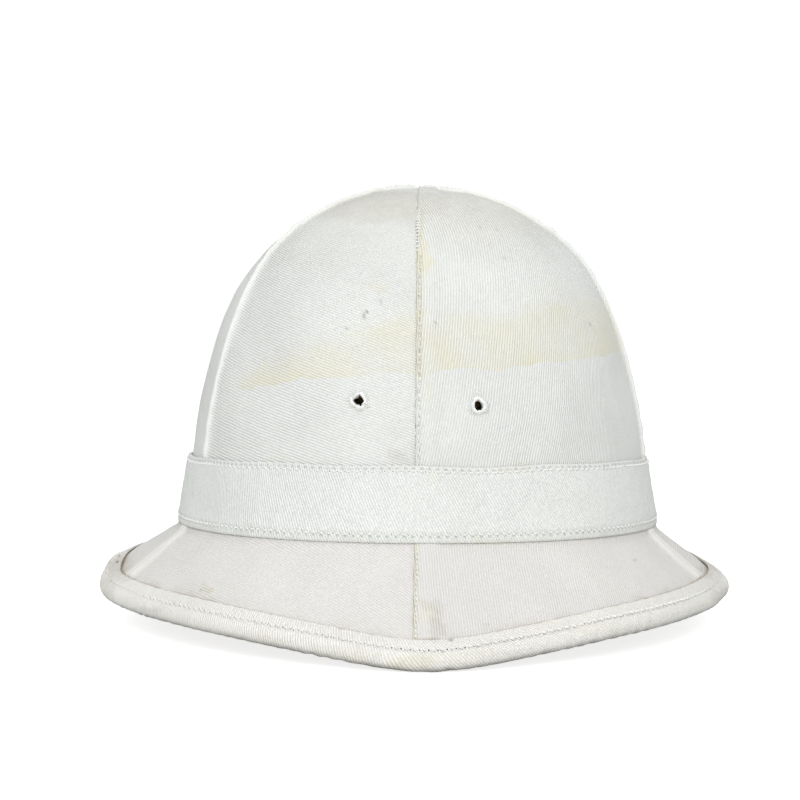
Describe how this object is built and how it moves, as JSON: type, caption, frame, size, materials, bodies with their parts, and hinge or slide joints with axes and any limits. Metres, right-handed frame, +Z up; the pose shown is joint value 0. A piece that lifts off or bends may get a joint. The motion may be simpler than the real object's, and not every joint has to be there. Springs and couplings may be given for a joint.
{
  "type": "pith helmet",
  "caption": "Pith helmet: domed shell with a drooping brim, covered in white twill panels, with a hat band and a rolled binding.",
  "frame": {"origin": "on the surface that the helmet rests on, under the middle of its outline", "axes": "+Z up, the front faces -Y, +X is the viewer's right seen from the front"},
  "size_m": [0.2574, 0.3242, 0.1771],
  "materials": {
    "twill": "white cotton twill, worn and stained",
    "band_twill": "white cotton twill, folded",
    "binding_twill": "white cotton twill cut on the bias, soiled",
    "pith": "bare matte pith"
  },
  "bodies": {
    "root": {"pith_shell": "pith", "crown_panel_front_left": "twill", "crown_panel_front_right": "twill", "crown_panel_back_left": "twill", "crown_panel_back_right": "twill", "hat_band": "band_twill", "brim_panel_front_left": "twill", "brim_panel_front_right": "twill", "brim_panel_back_left": "twill", "brim_panel_back_right": "twill", "brim_binding": "binding_twill"}
  },
  "joints": []
}
